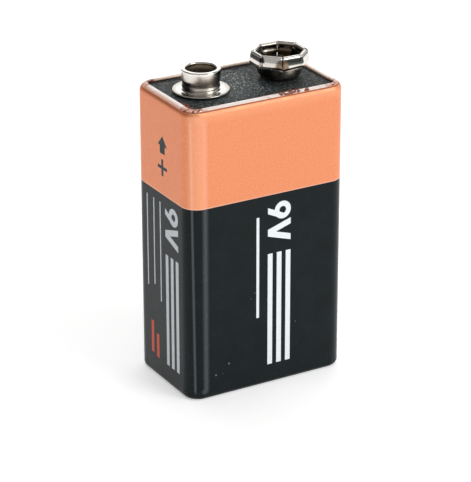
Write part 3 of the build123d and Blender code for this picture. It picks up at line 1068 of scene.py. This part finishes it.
# A pale, crumpled lip, its pale tone partly the bare lip and partly a painted
# reflection, with painted highlights along its edges and crest and a warmer
# painted tone on the far lips. Painted dark reflections make a brown line under
# it at the front and a copper band down the left roll. Copper shows in patches at
# the corners, the coat is torn there and along the front, and the cut edge towards
# the board is painted black as shade and dark reflection.
lip_dark = (1.0, 0.78, 0.68)
lip_light = (1.0, 0.95, 0.91)
lip_highlight_colour = (1.0, 0.98, 0.95)
left_roll_reflection = (0.95, 0.50, 0.35)
far_lip_light = (1.0, 0.70, 0.48)
lip_corner_copper = (0.72, 0.26, 0.14)
lip_torn = (0.24, 0.055, 0.026)
left_band_reflection = (0.72, 0.17, 0.06)
front_line_reflection = (0.30, 0.075, 0.035)
cut_edge_shade = (0.006, 0.005, 0.005)
lip_level = 44.30
corner_zone = (-1.2, 0.2)
front_zone = (-6.4, -6.0)
left_zone = (-11.4, -11.0)
lip_inner_x = (case_width / 2 - top_lip) / mm
lip_inner_y = (case_depth / 2 - top_lip) / mm
by_corner = both(tree, rising(tree, beyond_x, *corner_zone), rising(tree, beyond_y, *corner_zone))
by_front = falling(tree, y, *front_zone)
by_left = falling(tree, x, *left_zone)
by_far_sides = either(tree, rising(tree, y, 6.2, 6.6), rising(tree, x, 11.2, 11.5))
lip_line = maths(tree, "MULTIPLY_ADD", by_front, 0.03, lip_level)
lip_line = maths(tree, "MULTIPLY_ADD", by_left, -0.12, lip_line)
above_line = maths(tree, "SUBTRACT", z, lip_line)
is_lip = rising(tree, above_line, -0.03, 0.03)
highlit_lip_edges = either(tree, falling(tree, above_line, 0.03, 0.08), rising(tree, z, 44.52, 44.54))
left_roll = both(tree, by_left, falling(tree, z, 44.37, 44.51), crisp(tree, x, -11.85))
copper_corner_patches = both(tree, by_corner, rising(tree, grained(tree, place, 0.5, 0.0, 1.0), 0.25, 0.5))
ragged = either(tree, by_corner, both(tree, by_front, between(tree, x, 0.5, 8.0, 1.0)))
torn = both(tree, rising(tree, grained(tree, place, 0.8, 0.0, 1.0), 0.56, 0.66), ragged)
lip = mixed(tree, grained(tree, place, 1.1, 0.0, 1.0), lip_dark, lip_light)
# Painted highlights along the lip's edges and crest, a painted reflection on the left roll and a warmer
# painted tone on the far lips.
lip = tinted(tree, lip, highlit_lip_edges, 0.8, lip_highlight_colour)
lip = tinted(tree, lip, left_roll, 0.85, left_roll_reflection)
lip = tinted(tree, lip, by_far_sides, 0.6, far_lip_light)
lip = mixed(tree, copper_corner_patches, lip, lip_corner_copper)
lip = mixed(tree, torn, lip, lip_torn)
# A painted dark reflection band down the left roll.
left_band = both(tree, by_left, between(tree, z, 43.86, 44.06, 0.15))
case_colour = tinted(tree, case_colour, left_band, 0.7, left_band_reflection)
case_colour = mixed(tree, is_lip, case_colour, lip)
# A painted dark reflection line under the front lip.
front_dark_line = both(tree, between(tree, z, 44.18, 44.30, 0.04), by_front)
case_colour = tinted(tree, case_colour, front_dark_line, 0.8, front_line_reflection)
# The cut edge is painted black as shade and dark reflection of the board.
in_x = falling(tree, out_x, lip_inner_x, lip_inner_x + 0.02)
in_y = falling(tree, out_y, lip_inner_y, lip_inner_y + 0.02)
cut_edge = both(tree, in_x, in_y, rising(tree, z, 43, 44))
case_colour = mixed(tree, cut_edge, case_colour, cut_edge_shade)
tree.links.new(case_colour, shader.inputs["Base Color"])

# The copper is half metal, the pale lip hardly, and the print, the black half
# and the cut edge not at all. The lip is the glossiest and the print the
# dullest, and the lip puckers at the corners and along the front.
copper_metal = 0.5
lip_paint = 0.9
copper_roughness = (0.30, 0.42)
black_roughness = (0.20, 0.30)
lip_smoother = -0.12
roll_rougher = 0.10
print_rougher = 0.15
case_gloss = 0.14
lip_gloss = 0.6
fine_grain = 0.03
corner_wrinkle = 0.7
front_wrinkle = 0.2
relief_depth = 0.12 * mm
unprinted = maths(tree, "SUBTRACT", 1.0, either(tree, printed, cut_edge))
metal = maths(tree, "MULTIPLY_ADD", both(tree, is_lip, unprinted), -lip_paint, unprinted)
metal = maths(tree, "MULTIPLY", both(tree, is_copper, metal), copper_metal)
tree.links.new(metal, shader.inputs["Metallic"])
rough_copper = grained(tree, place, 1.2, *copper_roughness)
rough_black = grained(tree, place, 1.5, *black_roughness)
rough = add(tree, "Mix", {0: is_copper, 2: rough_black, 3: rough_copper}, data_type="FLOAT").outputs[0]
rough = maths(tree, "MULTIPLY_ADD", is_lip, lip_smoother, rough)
rough = maths(tree, "MULTIPLY_ADD", on_roll, roll_rougher, rough)
rough = maths(tree, "MULTIPLY_ADD", printed, print_rougher, rough)
tree.links.new(rough, shader.inputs["Roughness"])
gloss = maths(tree, "MULTIPLY_ADD", is_lip, lip_gloss, case_gloss)
shader.inputs["Specular IOR Level"].default_value = case_gloss
tree.links.new(gloss, shader.inputs["Specular IOR Level"])
fine = maths(tree, "MULTIPLY", grained(tree, place, 0.12, 0.0, 1.0), fine_grain)
wrinkled = maths(tree, "MULTIPLY", by_corner, corner_wrinkle)
wrinkled = either(tree, wrinkled, maths(tree, "MULTIPLY", by_front, front_wrinkle))
at_ends = either(tree, rising(tree, z, 43.9, 44.2), falling(tree, z, 0.9, 1.8))
folds = both(tree, grained(tree, place, 1.0, 0.0, 1.0), at_ends, wrinkled)
relief(tree, shader, maths(tree, "ADD", fine, folds), relief_depth)
piece = new_piece("case", case, material, "printed_case", "case_jacket")
thick = piece.modifiers.new("sheet", "SOLIDIFY")
thick.thickness = steel
thick.offset = -1
thick.use_even_offset = True


# Torn print film
# Two scraps of the case's print film, torn when the lip was rolled in. They
# stand out from under the lip, over the board, by the near corner and along
# the front.
film_scrap = plain_finish(
    "torn film", (0.10, 0.020, 0.010), (0.36, 0.085, 0.040),
    metallic=0.3, rough=(0.20, 0.35), grain_size=0.4, depth=0.03 * mm,
)
film_thickness = 0.03 * mm
film_level = 44.53
film_fall = 0.10
film_ripple = 0.06
for name, start, end, inward, reach in (
    ("film_front", (-0.9, -6.95), (7.4, -6.95), (0, 1), 0.75),
    ("film_left", (-11.75, -2.9), (-11.65, -6.9), (1, 0), 0.85),
):
    scrap = bmesh.new()
    bmesh.ops.create_grid(scrap, x_segments=80, y_segments=5, size=0.5)
    for vert in scrap.verts:
        share = vert.co.x + 0.5
        out = vert.co.y + 0.5
        tear = 0.75 + 0.5 * noise.noise(Vector((share * 11, reach * 9, 0)))
        width = reach * tear * math.sin(math.pi * share) ** 0.5
        ripple = noise.noise(Vector((share * 17, out * 2, reach * 5)))
        vert.co.x = (start[0] + (end[0] - start[0]) * share + inward[0] * width * out) * mm
        vert.co.y = (start[1] + (end[1] - start[1]) * share + inward[1] * width * out) * mm
        vert.co.z = (film_level - film_fall * out + film_ripple * ripple * out) * mm
    bmesh.ops.recalc_face_normals(scrap, faces=scrap.faces)
    piece = new_piece(name, scrap, film_scrap, "film")
    thick = piece.modifiers.new("film", "SOLIDIFY")
    thick.thickness = film_thickness
    thick.offset = 0
